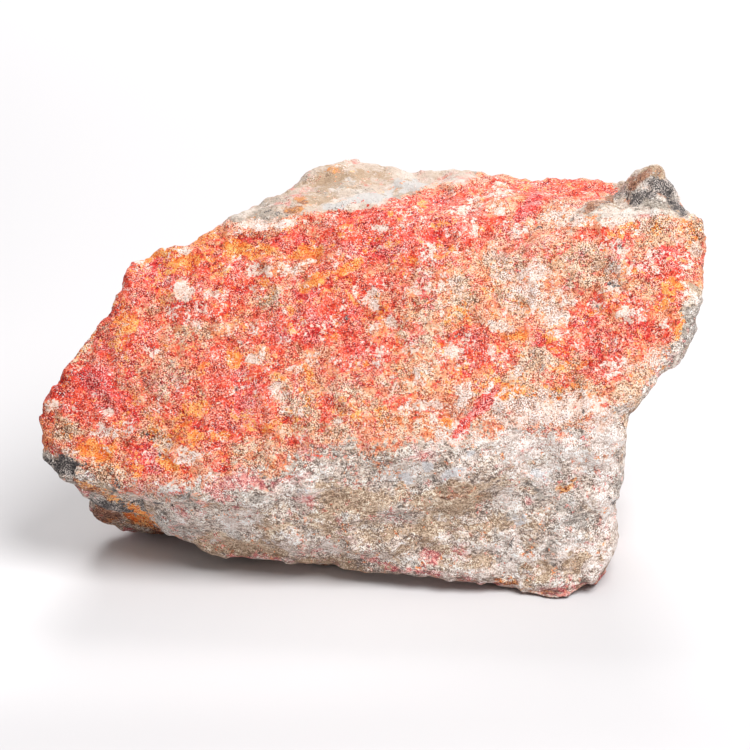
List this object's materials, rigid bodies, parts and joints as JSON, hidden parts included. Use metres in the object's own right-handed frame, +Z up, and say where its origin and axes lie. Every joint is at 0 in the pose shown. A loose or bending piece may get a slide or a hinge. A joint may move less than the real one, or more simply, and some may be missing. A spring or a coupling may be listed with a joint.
{
  "type": "raw realgar stone",
  "caption": "Rough hand specimen of raw realgar: granular red-orange face over grey matrix, tilted back, resting on a broken face.",
  "frame": {"origin": "on the ground, under the middle of the stone's bounding box", "axes": "+Z up from the face the stone rests on, +X along its length towards the overhanging end, +Y from the red face towards the broken back"},
  "size_m": [0.1028, 0.0566, 0.0576],
  "materials": {
    "realgar_stone": "rough, granular, with small glittering crystal faces"
  },
  "bodies": {
    "root": {"realgar_stone": "realgar_stone"}
  },
  "joints": []
}
